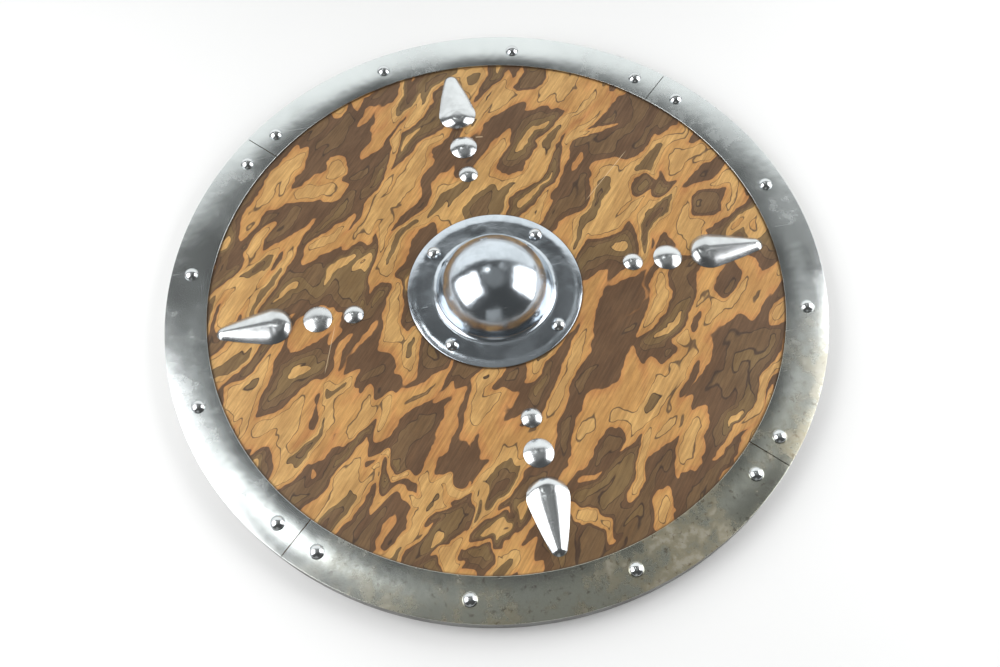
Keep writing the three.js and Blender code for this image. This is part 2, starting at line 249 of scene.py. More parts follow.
# The figure's broad areas: dyed layer, x, y, half length and half width in mm, and the turn of the
# long way from the fibre in degrees.
FIGURE = [
    ("brown", -110, 175, 60, 34, -10),
    ("brown", 45, 178, 62, 20, -12),
    ("brown", -190, 112, 36, 22, -30),
    ("umber", 150, 138, 50, 22, -8),
    ("brown", 105, -50, 62, 30, -12),
    ("umber", 200, -100, 62, 30, -5),
    ("brown", -118, -30, 36, 28, 0),
    ("brown", -92, -130, 60, 24, -75),
    ("umber", 70, -225, 60, 30, -10),
    ("orange", -85, 213, 40, 22, 5),
    ("umber", -140, 214, 20, 15, 0),
    ("gold", -132, 164, 16, 7, 8),
    ("gold", -67, 178, 30, 4, 12),
    ("gold", -160, 140, 40, 7, -48),
    ("gold", -187, 158, 20, 12, 10),
    ("gold", -218, 132, 30, 11, 0),
    ("umber", -190, 117, 20, 15, 0),
    ("gold", -34, 217, 24, 7, 0),
    ("gold", 46, 222, 40, 12, -15),
    ("umber", 83, 242, 18, 8, -40),
    ("gold", 123, 213, 38, 26, -25),
    ("orange", 126, 211, 17, 9, -10),
    ("gold", 76, 138, 42, 5, -3),
    ("gold", 128, 157, 26, 4, -33),
    ("gold", -80, 122, 46, 13, 0),
    ("gold", -8, 104, 62, 13, -10),
    ("gold", 34, 150, 26, 8, 0),
    ("brown", -38, 138, 22, 8, 0),
    ("orange", 120, 117, 14, 13, 0),
    ("brown", 98, 100, 30, 10, 5),
    ("gold", 143, 76, 48, 22, 5),
    ("gold", 122, 46, 22, 13, 0),
    ("olive", 161, 92, 12, 9, 0),
    ("olive", 182, 80, 15, 8, 0),
    ("gold", 212, 108, 28, 10, -10),
    ("gold", 222, 52, 44, 22, 0),
    ("olive", 222, 47, 20, 9, 5),
    ("brown", 233, 90, 14, 7, 0),
    ("gold", -214, 97, 28, 8, 0),
    ("brown", -237, 90, 13, 8, 0),
    ("gold", -186, 75, 34, 7, 0),
    ("brown", -196, 66, 24, 5, 0),
    ("gold", -134, 83, 36, 7, -10),
    ("brown", -146, 62, 30, 6, 0),
    ("gold", -228, 42, 40, 7, 0),
    ("umber", -167, 44, 12, 9, 0),
    ("olive", -130, 32, 20, 10, -25),
    ("gold", -98, 62, 42, 6.5, 20),
    ("gold", -92, -2, 32, 6.5, 45),
    ("brown", -66, 64, 20, 10, 0),
    ("gold", -187, -46, 56, 30, 0),
    ("brown", -187, -46, 46, 21, 0),
    ("olive", -188, -47, 32, 13, 0),
    ("deep gold", -189, -48, 8, 4, 0),
    ("gold", -244, -66, 26, 12, 0),
    ("orange", -163, -82, 26, 11, -60),
    ("gold", -140, -108, 30, 13, -60),
    ("brown", -184, -95, 22, 8, 0),
    ("gold", -217, -112, 28, 7, -5),
    ("gold", -166, -156, 36, 11, -20),
    ("brown", -107, -84, 22, 14, -60),
    ("orange", -80, -83, 30, 24, -60),
    ("orange", -27, -124, 40, 30, -80),
    ("gold", -30, -117, 14, 12, 0),
    ("orange", 0, -163, 22, 13, -40),
    ("gold", -78, -178, 66, 5, -84),
    ("gold", -84, -200, 62, 5, -88),
    ("olive", -86, -214, 22, 12, -40),
    ("gold", -122, -220, 28, 5, -30),
    ("gold", -94, -243, 22, 5, -40),
    ("gold", 53, -92, 54, 10, 4),
    ("brown", 32, -98, 40, 6, 4),
    ("gold", 140, -44, 32, 8, 8),
    ("brown", 83, -120, 42, 18, -8),
    ("orange", 83, -120, 33, 11, -8),
    ("gold", 156, -84, 14, 12, 0),
    ("gold", 215, -42, 40, 28, 5),
    ("umber", 217, -28, 20, 10, 0),
    ("gold", 253, -76, 18, 8, 0),
    ("gold", 140, -120, 46, 14, -8),
    ("brown", 154, -120, 20, 5, -8),
    ("gold", 70, -166, 36, 17, -12),
    ("umber", 62, -170, 20, 7, -15),
    ("gold", 126, -168, 36, 9, -5),
    ("gold", 136, -196, 18, 9, 0),
    ("olive", 60, -206, 22, 13, 10),
    ("gold", 92, -186, 34, 5, 10),
    ("gold", 96, -234, 20, 10, 10),
    ("gold", 33, -226, 28, 8, -85),
    ("gold", 214, -143, 50, 4, -6),
    ("gold", 194, -164, 50, 4, -6),
]

# Light scratches in the finish: the middle, half length and half width in mm, and the turn in degrees.
WOOD_SCRATCHES = [
    (132, 103, 38, 0.35, 43),
    (-158, -30, 26, 0.3, 72),
    (18.5, 175, 4, 0.6, -8),
]


def fibre_frame(x, y):
    """A place in millimetres, carried over to decimetres along and across the fibre."""
    cosine, sine = math.cos(FIBRE_ANGLE), math.sin(FIBRE_ANGLE)
    return ((x * cosine + y * sine) / 100, (y * cosine - x * sine) / 100, 0)


def noise_vector(tree, vector, scale, strength):
    """Smooth vector noise about zero."""
    drift = tree.node("ShaderNodeTexNoise", {"noise_dimensions": "2D"},
                      {"Vector": vector, "Scale": scale, "Detail": 1.0, "Roughness": 0.5}).outputs[1]
    return tree.scaled(tree.vector("SUBTRACT", drift, (0.5, 0.5, 0.5)), strength)


def burl_level(tree, fibre):
    """How deep in the stack of dyed layers the surface cuts, counted in layers."""
    along = Value(tree, tree.node("ShaderNodeSeparateXYZ", None, {0: fibre}).outputs[0])
    teeth_depth = tree.span(along, -1.5, -0.5, LOW_LEFT_TEETH, TEETH)
    teeth = (tree.noise(tree.mapped(fibre, scale=TEETH_STRETCH), 1.0, 1.0, 0.5) - 0.5) * teeth_depth
    bent = tree.vector("ADD", fibre, noise_vector(tree, fibre, SWIRL_SCALE, SWIRL))
    bent = tree.vector("ADD", bent, noise_vector(tree, fibre, WOBBLE_SCALE, WOBBLE))
    bent = tree.vector("ADD", bent, tree.node("ShaderNodeCombineXYZ", None, {0: teeth}).outputs[0])
    waves = tree.noise(tree.mapped(bent, scale=BASE_STRETCH), BASE_SCALE, 1.0, 0.4)
    ripples = tree.noise(tree.mapped(bent, scale=RIPPLE_STRETCH), BASE_SCALE, 0.0)
    level = BASE_LEVEL + (waves - 0.5) * BASE_SPREAD
    axes = tree.node("ShaderNodeSeparateXYZ", None, {0: bent}).outputs
    for layer, x, y, half_length, half_width, turn in FIGURE:
        # The level rides along as the third coordinate, so that the areas are laid one after another.
        point = tree.node("ShaderNodeCombineXYZ", None, {0: axes[0], 1: axes[1], 2: level}).outputs[0]
        size = (half_length / 100, half_width / 100, 10000)
        spot = tree.mapped(point, fibre_frame(x, y), math.radians(turn), size, "TEXTURE")
        distance = Value(tree, tree.vector("DOT_PRODUCT", spot, spot, output=1))
        inside = math.e ** (distance * distance * -0.5)
        level = level + (DEPTH[layer] - level) * inside * AREA_HOLD
    return level + (ripples - 0.5) * RIPPLE


def wood_scratches(tree, place):
    """The few light scratches in the finish, 0 to 1."""
    total = 0.0
    for x, y, half_length, half_width, turn in WOOD_SCRATCHES:
        size = (half_length * MM, half_width * MM, 1)
        line = tree.node("ShaderNodeSeparateXYZ", None, {
            0: tree.mapped(place, (x * MM, y * MM, 0), math.radians(turn), size, "TEXTURE")})
        along, across = Value(tree, line.outputs[0]), Value(tree, line.outputs[1])
        total = total + tree.span(along * along, 0.5, 1.0, 1, 0) * tree.span(across * across, 0.3, 1.5, 1, 0)
    return total


def painted_corner_shade(tree, place):
    """Painted shade in the corners against the rim and the flange of the boss, 0 to 1."""
    radius = Value(tree, tree.vector("LENGTH", tree.vector("MULTIPLY", place, (1, 1, 0)), output=1))
    at_rim = tree.span(radius, RIM_INSIDE - 2.4 * MM, RIM_INSIDE)
    at_boss = tree.span(radius, FLANGE_RADIUS, FLANGE_RADIUS + 2 * MM, 1, 0)
    return at_rim + at_boss


def burl_face(tree):
    """Burl veneer: dyed layers pressed into waves and cut flat, with dark glue lines between some."""
    place = tree.place()
    fibre = tree.mapped(place, turn=-FIBRE_ANGLE, scale=(10, 10, 0))
    turnover = (burl_level(tree, fibre) / STACK_LAYERS) % 1
    layers = [
        (0.000, GOLD), (0.185, GOLD), (0.192, OLIVE_BROWN), (0.203, OLIVE_BROWN), (0.210, WARM_GOLD),
        (0.300, WARM_GOLD), (0.395, ORANGE), (0.404, PURPLE_BROWN), (0.588, PURPLE_BROWN),
        (0.595, GLUE_AND_SHADE_BROWN), (0.605, GLUE_AND_SHADE_BROWN), (0.612, OLIVE_BROWN), (0.788, OLIVE_BROWN),
        (0.795, GLUE_AND_SHADE_BROWN), (0.805, GLUE_AND_SHADE_BROWN), (0.812, OLIVE), (0.980, OLIVE), (0.988, GLUE_AND_SHADE_BROWN),
        (0.992, GLUE_AND_SHADE_BROWN), (1.000, GOLD),
    ]
    dyed = tree.node("ShaderNodeValToRGB", {"stops": [(p, c[:3]) for p, c in layers]}, {0: turnover})
    cloud = tree.noise(tree.mapped(fibre, scale=(0.6, 1.6, 1)), 3.5, 4.0, 0.65)
    toned = tree.mixed(tree.span(cloud, 0.3, 0.7), dyed.outputs[0], (0.76, 0.71, 0.66, 1), "MULTIPLY")
    threads = tree.noise(tree.mapped(fibre, scale=(0.5, 9, 1)), 5.0, 5.0, 0.7)
    shade = tree.span(threads, 0.3, 0.72, 1.25, 0.76, smooth=False)
    grained = tree.scaled(toned, shade)
    pores = tree.noise(tree.mapped(fibre, scale=(5, 60, 1)), 9.0, 1.0)
    pore_mask = tree.span(pores, 0.70, 0.80)
    finished = tree.mixed(pore_mask * 0.35, grained, GLUE_AND_SHADE_BROWN)
    finished = tree.mixed(wood_scratches(tree, place) * 0.6, finished, colour(214, 190, 154))
    # Painted shade: a dark ring on the wood where it meets the rim and the boss's flange.
    finished = tree.mixed(painted_corner_shade(tree, place) * 0.7, finished, GLUE_AND_SHADE_BROWN)
    height = threads * 0.6 - pore_mask * 0.5
    return finished, threads, height


def board_inputs(tree):
    """The satin veneer of the face."""
    face, threads, height = burl_face(tree)
    return {
        "Base Color": face,
        "Roughness": tree.span(threads, 0.3, 0.7, 0.42, 0.58),
        "Normal": tree.bump(height, 0.00012),
    }


def plain_wood(tree, light, dark, ring_scale=38.0):
    """Straight-grained timber that runs along X."""
    place = tree.place()
    drift = (tree.noise(tree.mapped(place, scale=(2, 9, 9)), 4.0, 2.0, flat=False) - 0.5) * 0.05
    lengthwise = tree.mapped(place, scale=(1.2, 24, 24))
    figure = tree.noise(lengthwise, 9.0, 4.0, 0.6, flat=False)
    across = tree.node("ShaderNodeSeparateXYZ", None, {0: place})
    rings = tree.number("ShaderNodeMath", {"operation": "SINE"},
                        {0: (Value(tree, across.outputs[1]) + drift) * ring_scale * 6.0})
    blend = tree.span(figure + rings * 0.12, 0.3, 0.72)
    pores = tree.span(tree.noise(tree.mapped(place, scale=(14, 160, 160)), 9.0, 1.0, flat=False), 0.66, 0.78)
    toned = tree.mixed(blend, light, dark)
    finished = tree.mixed(pores * 0.5, toned, GLUE_AND_SHADE_BROWN)
    return finished, figure, blend * 0.5 - pores


def back_inputs(tree):
    """The plain timber of the back."""
    toned, figure, height = plain_wood(tree, colour(176, 134, 88), colour(138, 98, 60), 20.0)
    return {
        "Base Color": toned,
        "Roughness": tree.span(figure, 0.3, 0.7, 0.5, 0.65),
        "Normal": tree.bump(height, 0.0001),
    }


def grip_inputs(tree):
    """The darker timber of the grip, worn smooth."""
    toned, figure, height = plain_wood(tree, colour(150, 104, 62), colour(104, 68, 38))
    return {
        "Base Color": toned,
        "Roughness": tree.span(figure, 0.3, 0.7, 0.38, 0.55),
        "Normal": tree.bump(height, 0.00015),
    }


# ------------------------------------------------------------------ steel


def scratches(tree, place, count=3):
    """Fine hair scratches that run several ways, 0 to 1."""
    total = None
    for i in range(count):
        turn = math.radians(25 + 67 * i)
        lane = tree.mapped(place, turn=turn, scale=(14, 900, 40))
        line = tree.span(tree.noise(lane, 1.0 + 0.13 * i, 2.0, 0.7, flat=False), 0.69, 0.77)
        patch = tree.span(tree.noise(tree.mapped(place, (3.1 * i, 1.7 * i, 0)), 26.0, 2.0), 0.48, 0.62)
        layer = line * patch
        total = layer if total is None else total + layer
    return total


def polished_inputs(tree, tone, low, high, dimple_scale, dimple_depth):
    """Polished steel, cloudy between two roughnesses, with shallow dimples and hair scratches."""
    place = tree.place()
    cloud = tree.noise(place, 45.0, 3.0, 0.6, flat=False)
    lines = scratches(tree, place)
    dimples = tree.noise(place, dimple_scale, 1.5, 0.5, flat=False)
    fine = tree.noise(place, dimple_scale * 6, 2.0, 0.6, flat=False)
    shade = tree.span(cloud, 0.35, 0.7, 1.0, 0.86)
    return {
        "Base Color": tree.scaled(tone[:3], shade),
        "Roughness": tree.span(cloud, 0.35, 0.7, low, high) + lines * 0.16,
        "Normal": tree.bump(dimples + fine * 0.08 - lines * 0.02, dimple_depth),
    }


def rim_inputs(tree):
    """Sheet steel with scuffs, and an olive and brown tarnish that gathers towards -Y."""
    place = tree.place()
    axes = tree.node("ShaderNodeSeparateXYZ", None, {0: place})
    x, y = Value(tree, axes.outputs[0]), Value(tree, axes.outputs[1])
    lines = scratches(tree, place)
    cloud = tree.noise(place, 9.0, 4.0, 0.6)
    fine = tree.noise(place, 60.0, 4.0, 0.7)
    low_side = tree.span(y * -1 + x * 0.25 + (cloud - 0.5) * 0.16, 0.10, 0.30)
    stain = low_side * tree.span(fine * 0.5 + cloud * 0.6, 0.48, 0.66)
    specks = tree.span(tree.noise(place, 150.0, 3.0, 0.7), 0.60, 0.72) * low_side
    scuffs = tree.span(fine + (cloud - 0.5) * 0.8, 0.58, 0.72)
    clean = tree.mixed(cloud, colour(208, 212, 212), colour(192, 197, 198))
    hazed = tree.mixed(low_side * 0.55, clean, colour(176, 174, 146))
    tarnished = tree.mixed(stain * 0.6, hazed, colour(146, 128, 90))
    freckled = tree.mixed(specks * 0.5, tarnished, colour(92, 70, 46))
    scuffed = tree.mixed(scuffs * 0.2, freckled, colour(214, 216, 216))
    rough = tree.span(cloud, 0.3, 0.7, 0.17, 0.25) + scuffs * 0.05 + stain * 0.14 + lines * 0.10
    return {
        "Base Color": scuffed,
        "Roughness": rough,
        "Normal": tree.bump(cloud + fine * 0.05 - lines * 0.01, 0.0006),
    }


def dull_steel_inputs(tree):
    """Dull steel with a little rust."""
    place = tree.place()
    cloud = tree.noise(place, 30.0, 4.0, 0.6, flat=False)
    fine = tree.noise(place, 260.0, 3.0, 0.6, flat=False)
    toned = tree.mixed(cloud, colour(150, 150, 148), colour(108, 106, 102))
    rusted = tree.mixed(tree.span(fine, 0.6, 0.75) * 0.5, toned, colour(96, 70, 48))
    return {
        "Base Color": rusted,
        "Roughness": tree.span(cloud, 0.3, 0.7, 0.34, 0.52),
        "Normal": tree.bump(fine, 0.00008),
    }


def make_finishes():
    """Every material of the shield, by the record's slot or by a plain name."""
    bright = colour(206, 209, 211)
    steels = {
        "boss_steel": (colour(194, 202, 210), 0.16, 0.24, 55.0, 0.0006),
        "stud_steel": (bright, 0.22, 0.30, 90.0, 0.0003),
        "teardrop_steel": (bright, 0.20, 0.26, 70.0, 0.0001),
        "rivet_steel": (bright, 0.16, 0.24, 120.0, 0.0003),
    }
    made = {
        name: new_finish(name, lambda tree, s=settings: polished_inputs(tree, *s), Metallic=1.0)
        for name, settings in steels.items()
    }
    made["rim_steel"] = new_finish("rim_steel", rim_inputs, Metallic=1.0)
    made["edge_steel"] = new_finish("edge_steel", dull_steel_inputs, Metallic=1.0)
    made["screw_steel"] = new_finish("screw_steel", dull_steel_inputs, Metallic=1.0)
    made["veneered_board"] = new_finish("burl_veneer", board_inputs, Specular_IOR_Level=0.4)
    made["board_back"] = new_finish("plain_back", back_inputs, Specular_IOR_Level=0.3)
    made["grip_wood"] = new_finish("grip_timber", grip_inputs, Specular_IOR_Level=0.4)
    return made


finishes = make_finishes()


# ------------------------------------------------------------------ shapes


def mesh_object(name, vertices, faces):
    mesh = bpy.data.meshes.new(name)
    mesh.from_pydata([tuple(v) for v in vertices], [], faces)
    mesh.update()
    made = bpy.data.objects.new(name, mesh)
    bpy.context.scene.collection.objects.link(made)
    return made


def shape_tree(name, sockets):
    """Geometry Nodes group with named inputs, and its input and output nodes."""
    group = bpy.data.node_groups.new(name, "GeometryNodeTree")
    group.interface.new_socket("Geometry", in_out="INPUT", socket_type="NodeSocketGeometry")
    for label, kind in sockets:
        group.interface.new_socket(label, in_out="INPUT", socket_type=f"NodeSocket{kind}")
    group.interface.new_socket("Geometry", in_out="OUTPUT", socket_type="NodeSocketGeometry")
    tree = Tree(group)
    return group, tree, tree.node("NodeGroupInput").outputs


def turning_tree():
    """Turns a profile about Z: each row of a grid takes one point of the profile."""
    group, tree, given = shape_tree(
        "turned_on_a_lathe",
        [("Profile", "Object"), ("Points", "Int"), ("Steps", "Int"), ("Finish", "Material")])
    profile = tree.node("GeometryNodeObjectInfo", None, {"Object": given["Profile"]})
    grid = tree.node("GeometryNodeMeshGrid", None, {
        "Size X": 1.0, "Size Y": 1.0, "Vertices X": given["Points"], "Vertices Y": given["Steps"]})
    index = tree.node("GeometryNodeInputIndex").outputs[0]

    def whole(operation, first, second):
        return tree.node("ShaderNodeMath", {"operation": operation}, {0: first, 1: second}).outputs[0]

    column = whole("FLOOR", whole("DIVIDE", whole("ADD", index, 0.5), given["Steps"]), 0.0)
    row = whole("SUBTRACT", index, whole("MULTIPLY", column, given["Steps"]))
    angle = whole("MULTIPLY", whole("DIVIDE", row, whole("SUBTRACT", given["Steps"], 1.0)), math.tau)
    sampled = tree.node("GeometryNodeSampleIndex", {"data_type": "FLOAT_VECTOR", "domain": "POINT"}, {
        "Geometry": profile.outputs["Geometry"],
        "Value": tree.node("GeometryNodeInputPosition").outputs[0],
        "Index": column,
    })
    turned = tree.node("ShaderNodeVectorRotate", {"rotation_type": "Z_AXIS"}, {
        "Vector": sampled.outputs[0], "Angle": angle})
    moved = tree.node("GeometryNodeSetPosition", None, {
        "Geometry": grid.outputs["Mesh"], "Position": turned.outputs[0]})
    merged = tree.node("GeometryNodeMergeByDistance", None, {
        "Geometry": moved.outputs[0], "Distance": 1e-6})
    realized = tree.node("GeometryNodeRealizeInstances", None, {"Geometry": merged.outputs[0]})
    finished = tree.node("GeometryNodeSetMaterial", None, {
        "Geometry": realized.outputs[0], "Material": given["Finish"]})
    tree.node("NodeGroupOutput", None, {0: finished.outputs[0]})
    return group


def setting_tree():
    """Sets one copy of a piece at each point, turned by the point's own angle."""
    group, tree, given = shape_tree(
        "set_at_each_mark", [("Piece", "Object"), ("Finish", "Material")])
    piece = tree.node("GeometryNodeObjectInfo", None, {"Object": given["Piece"]})
    turn = tree.node("GeometryNodeInputNamedAttribute", {"data_type": "FLOAT"}, {"Name": "turn"})
    euler = tree.node("ShaderNodeCombineXYZ", None, {2: turn.outputs[0]})
    rotation = tree.node("FunctionNodeEulerToRotation", None, {0: euler.outputs[0]})
    placed = tree.node("GeometryNodeInstanceOnPoints", None, {
        "Points": given["Geometry"], "Instance": piece.outputs["Geometry"], "Rotation": rotation.outputs[0]})
    realized = tree.node("GeometryNodeRealizeInstances", None, {"Geometry": placed.outputs[0]})
    finished = tree.node("GeometryNodeSetMaterial", None, {
        "Geometry": realized.outputs[0], "Material": given["Finish"]})
    tree.node("NodeGroupOutput", None, {0: finished.outputs[0]})
    return group


def shaped(name, base, group, inputs):
    """Plain mesh object of what a Geometry Nodes group makes from base."""
    modifier = base.modifiers.new(group.name, "NODES")
    modifier.node_group = group
    sockets = {item.name: item.identifier for item in group.interface.items_tree if item.in_out == "INPUT"}
    for label, value in inputs.items():
        modifier[sockets[label]] = value
    bpy.context.view_layer.update()
    evaluated = base.evaluated_get(bpy.context.evaluated_depsgraph_get())
    mesh = bpy.data.meshes.new_from_object(evaluated)
    mesh.name = name
    made = bpy.data.objects.new(name, mesh)
    bpy.context.scene.collection.objects.link(made)
    bpy.data.objects.remove(base)
    return made


TURNING = turning_tree()
SETTING = setting_tree()


def turned(name, profile, steps, finish, material=None):
    """Solid turned about Z from a list of (radius, height), round the outside and back."""
    rail = mesh_object(name + "_profile", [(r, 0, z) for r, z in profile], [])
    blank = mesh_object(name + "_blank", [(0, 0, 0)], [])
    made = shaped(name, blank, TURNING, {
        "Profile": rail, "Points": len(profile), "Steps": steps + 1,
        "Finish": material or finishes[finish],
    })
    bpy.data.objects.remove(rail)
    face_outwards(made.data)
    smooth_by_angle(made.data)
    return made


def set_out(name, piece, places, turns, finish):
    """Copies of a piece at places, as one mesh."""
    marks = mesh_object(name + "_marks", places, [])
    attribute = marks.data.attributes.new("turn", "FLOAT", "POINT")
    attribute.data.foreach_set("value", turns)
    made = shaped(name, marks, SETTING, {"Piece": piece, "Finish": finishes[finish]})
    bpy.data.objects.remove(piece)
    smooth_by_angle(made.data)
    return made


def face_outwards(mesh):
    """Closes the seams and turns every face outwards."""
    work = bmesh.new()
    work.from_mesh(mesh)
    bmesh.ops.remove_doubles(work, verts=work.verts, dist=1e-6)
    bmesh.ops.dissolve_degenerate(work, edges=work.edges, dist=1e-7)
    bmesh.ops.recalc_face_normals(work, faces=work.faces)
    if work.calc_volume(signed=True) < 0:
        bmesh.ops.reverse_faces(work, faces=work.faces)
    work.to_mesh(mesh)
    work.free()


def smooth_by_angle(mesh, degrees=35):
    """Smooth shading, with edges sharper than this left crisp."""
    mesh.shade_smooth()
    mesh.set_sharp_from_angle(angle=math.radians(degrees))


def arc(centre_r, centre_z, radius, start, end, steps):
    """Points of a circular arc in a profile, between two angles in degrees."""
    angles = np.radians(np.linspace(start, end, steps + 1))
    return [(centre_r + radius * math.cos(a), centre_z + radius * math.sin(a)) for a in angles]


def softened(profile, radius, steps=3):
    """Closed profile with each corner rounded off."""
    rounded = []
    count = len(profile)
    for i, point in enumerate(profile):
        here = Vector(point)
        to_last = (Vector(profile[i - 1]) - here).normalized()
        to_next = (Vector(profile[(i + 1) % count]) - here).normalized()
        for t in np.linspace(0, 1, steps + 1):
            a = here + to_last * radius * (1 - t) ** 2
            b = to_next * radius * t ** 2
            rounded.append(tuple(a + b))
    return rounded


def keep(piece, slot, *nodes):
    """The piece rides with the shield and stands for these CAD nodes; the slot argument is not used."""
    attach(piece, BODY)
    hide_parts(*nodes)


def box_shape(name, low, high):
    """Plain box between two corners."""
    corners = [(x, y, z) for x in (low[0], high[0]) for y in (low[1], high[1]) for z in (low[2], high[2])]
    return mesh_object(name, corners, [
        (0, 1, 3, 2), (4, 6, 7, 5), (0, 4, 5, 1), (2, 3, 7, 6), (0, 2, 6, 4), (1, 5, 7, 3)])


def cut_away(piece, cutters):
    """Cuts each cutter out of the piece, and removes the cutters."""
    for cutter in cutters:
        modifier = piece.modifiers.new("cut", "BOOLEAN")
        modifier.operation = "DIFFERENCE"
        modifier.solver = "EXACT"
        modifier.object = cutter
    bpy.context.view_layer.update()
    mesh = bpy.data.meshes.new_from_object(piece.evaluated_get(bpy.context.evaluated_depsgraph_get()))
    piece.modifiers.clear()
    piece.data = mesh
    for cutter in cutters:
        bpy.data.objects.remove(cutter)
    smooth_by_angle(mesh)
    return mesh


def middle_of(node):
    low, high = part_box(node)
    return (low + high) / 2


# ------------------------------------------------------------------ levels and radii from the CAD

board_low, board_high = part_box("board")
BOARD_RADIUS = (board_high.x - board_low.x) / 2
BOARD_TOP = board_high.z
SHIELD_RADIUS = cad_box[1].x - SMALL_GAP / 3
SHEET_BOTTOM = BOARD_TOP + SMALL_GAP
SHEET_TOP = SHEET_BOTTOM + SHEET
RIVET_SEAT = SHEET_TOP + SMALL_GAP
rivet_middles = [middle_of(node) for node in RIM_RIVETS]
HAND_HOLE = 52 * MM
SCREW_HEAD = 4.5 * MM


# ------------------------------------------------------------------ board


def make_board():
    """Turned ring of board, with the grip's pocket and the rivet holes cut into it from the back."""
    edge = 0.5 * MM
    outline = softened([
        (HAND_HOLE, 0), (BOARD_RADIUS, 0), (BOARD_RADIUS, BOARD_TOP), (HAND_HOLE, BOARD_TOP)], edge)
    board = turned("board_with_veneer", outline + outline[:1], 180, "veneered_board")
    low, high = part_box("grip")
    pocket_top = 8.3 * MM
    pocket = box_shape("pocket_cutter", (low.x - SMALL_GAP, low.y - SMALL_GAP, -1 * MM),
                       (high.x + SMALL_GAP, high.y + SMALL_GAP, pocket_top))
    hole = turned("rivet_hole", [(0, -1 * MM), (2.8 * MM, -1 * MM), (2.8 * MM, 6 * MM), (0, 6 * MM)], 24,
                  "veneered_board")
    marks = [(p.x, p.y, 0) for p in rivet_middles + [middle_of(n) for n in BOSS_RIVETS]]
    holes = set_out("hole_cutter", hole, marks, [0.0] * len(marks), "veneered_board")
    mesh = cut_away(board, [pocket, holes])
    mesh.materials.clear()
    mesh.materials.append(finishes["veneered_board"])
    mesh.materials.append(finishes["board_back"])
    for face in mesh.polygons:
        on_face = face.center.z > BOARD_TOP - 0.6 * MM
        face.material_index = 0 if on_face else 1
    keep(board, "veneered_board", "board")


# ------------------------------------------------------------------ rim


def make_strip(node, steps=120):
    """One curved strip of sheet with soft edges, from joint to joint."""
    middle = middle_of(node)
    centre_angle = math.atan2(middle.y, middle.x)
    edge = 0.45 * MM
    section = softened([
        (RIM_INSIDE, SHEET_BOTTOM), (SHIELD_RADIUS, SHEET_BOTTOM), (SHIELD_RADIUS, SHEET_TOP),
        (RIM_INSIDE, SHEET_TOP)], edge)
    half_gap = 0.4 * MM
    vertices = []
    for step in range(steps + 1):
        share = step / steps * 2 - 1
        for radius, height in section:
            angle = centre_angle + share * (math.pi / 4 - half_gap / radius)
            vertices.append((radius * math.cos(angle), radius * math.sin(angle), height))
    count = len(section)
    faces = []
    for step in range(steps):
        for i in range(count):
            j = (i + 1) % count
            a, b = step * count, (step + 1) * count
            faces.append((a + i, a + j, b + j, b + i))
    faces.append(tuple(range(count)))
    faces.append(tuple(steps * count + i for i in reversed(range(count))))
    strip = mesh_object(node.replace("rim_strip", "rim_plate"), vertices, faces)
    face_outwards(strip.data)
    smooth_by_angle(strip.data)
    strip.data.materials.append(finishes["rim_steel"])
    keep(strip, "rim_steel", node)


def make_edge_band():
    """Thin hoop round the edge of the board, below the strips."""
    low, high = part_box("edge_band")
    outside = high.x
    inside = outside - 1.2 * MM
    section = softened([(inside, low.z), (outside, low.z), (outside, high.z), (inside, high.z)], 0.3 * MM)
    band = turned("edge_hoop", section + section[:1], 240, "edge_steel")
    keep(band, "edge_steel", "edge_band")


# ------------------------------------------------------------------ rivets


def rivet_profile(head_radius, head_height, shank_radius):
    """Rivet from its tail in the back to the top of its head, relative to its own axis."""
    lip = 0.35 * MM
    rise = head_height - lip
    sphere = (head_radius ** 2 + rise ** 2) / (2 * rise)
    edge = math.degrees(math.acos(head_radius / sphere))
    tail = 0.25 * MM
    dome = arc(0, RIVET_SEAT + head_height - sphere, sphere, edge, 90, 9)
    return [
        (0, tail), (shank_radius * 0.7, tail), (shank_radius, tail + 0.3 * MM), (shank_radius, RIVET_SEAT),
        (head_radius - 0.2 * MM, RIVET_SEAT), (head_radius, RIVET_SEAT + 0.15 * MM), *dome[:-1],
        (0, dome[-1][1]),
    ]


def make_rivets(name, nodes, seed):
    """One rivet at each node, each turned its own way about its axis."""
    head_radius = 6.5 * MM
    head_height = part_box(nodes[0])[1].z - RIVET_SEAT
    rivet = turned(name + "_pattern", rivet_profile(head_radius, head_height, 2.5 * MM), 32, "rivet_steel")
    middles = [middle_of(node) for node in nodes]
    places = [(p.x, p.y, 0) for p in middles]
    rng = np.random.default_rng(seed)
    turns = rng.uniform(-math.pi, math.pi, len(nodes))
    rivets = set_out(name, rivet, places, turns, "rivet_steel")
    keep(rivets, "rivet_steel", *nodes)


# ------------------------------------------------------------------ boss


def boss_face(depth, dome_radius, dome_top, fillet, flange_radius):
    """Half section of one face of the boss's sheet, from the apex outwards."""
    centre = dome_top - dome_radius
    foot_z = SHEET_TOP + fillet
    reach = dome_radius + fillet
    foot_r = math.sqrt(reach ** 2 - (foot_z - centre) ** 2)
    meeting = math.degrees(math.asin((foot_z - centre) / reach))
    dome = arc(0, centre, dome_radius - depth, 90, meeting, 40)
    foot = arc(foot_r, foot_z, fillet + depth, 180 + meeting, 270, 12)
    flange = [(foot_r + (flange_radius - foot_r) * t, SHEET_TOP - depth) for t in (0.2, 0.6)]
    return [(0, dome[0][1]), *dome[1:], *foot[1:], *flange]


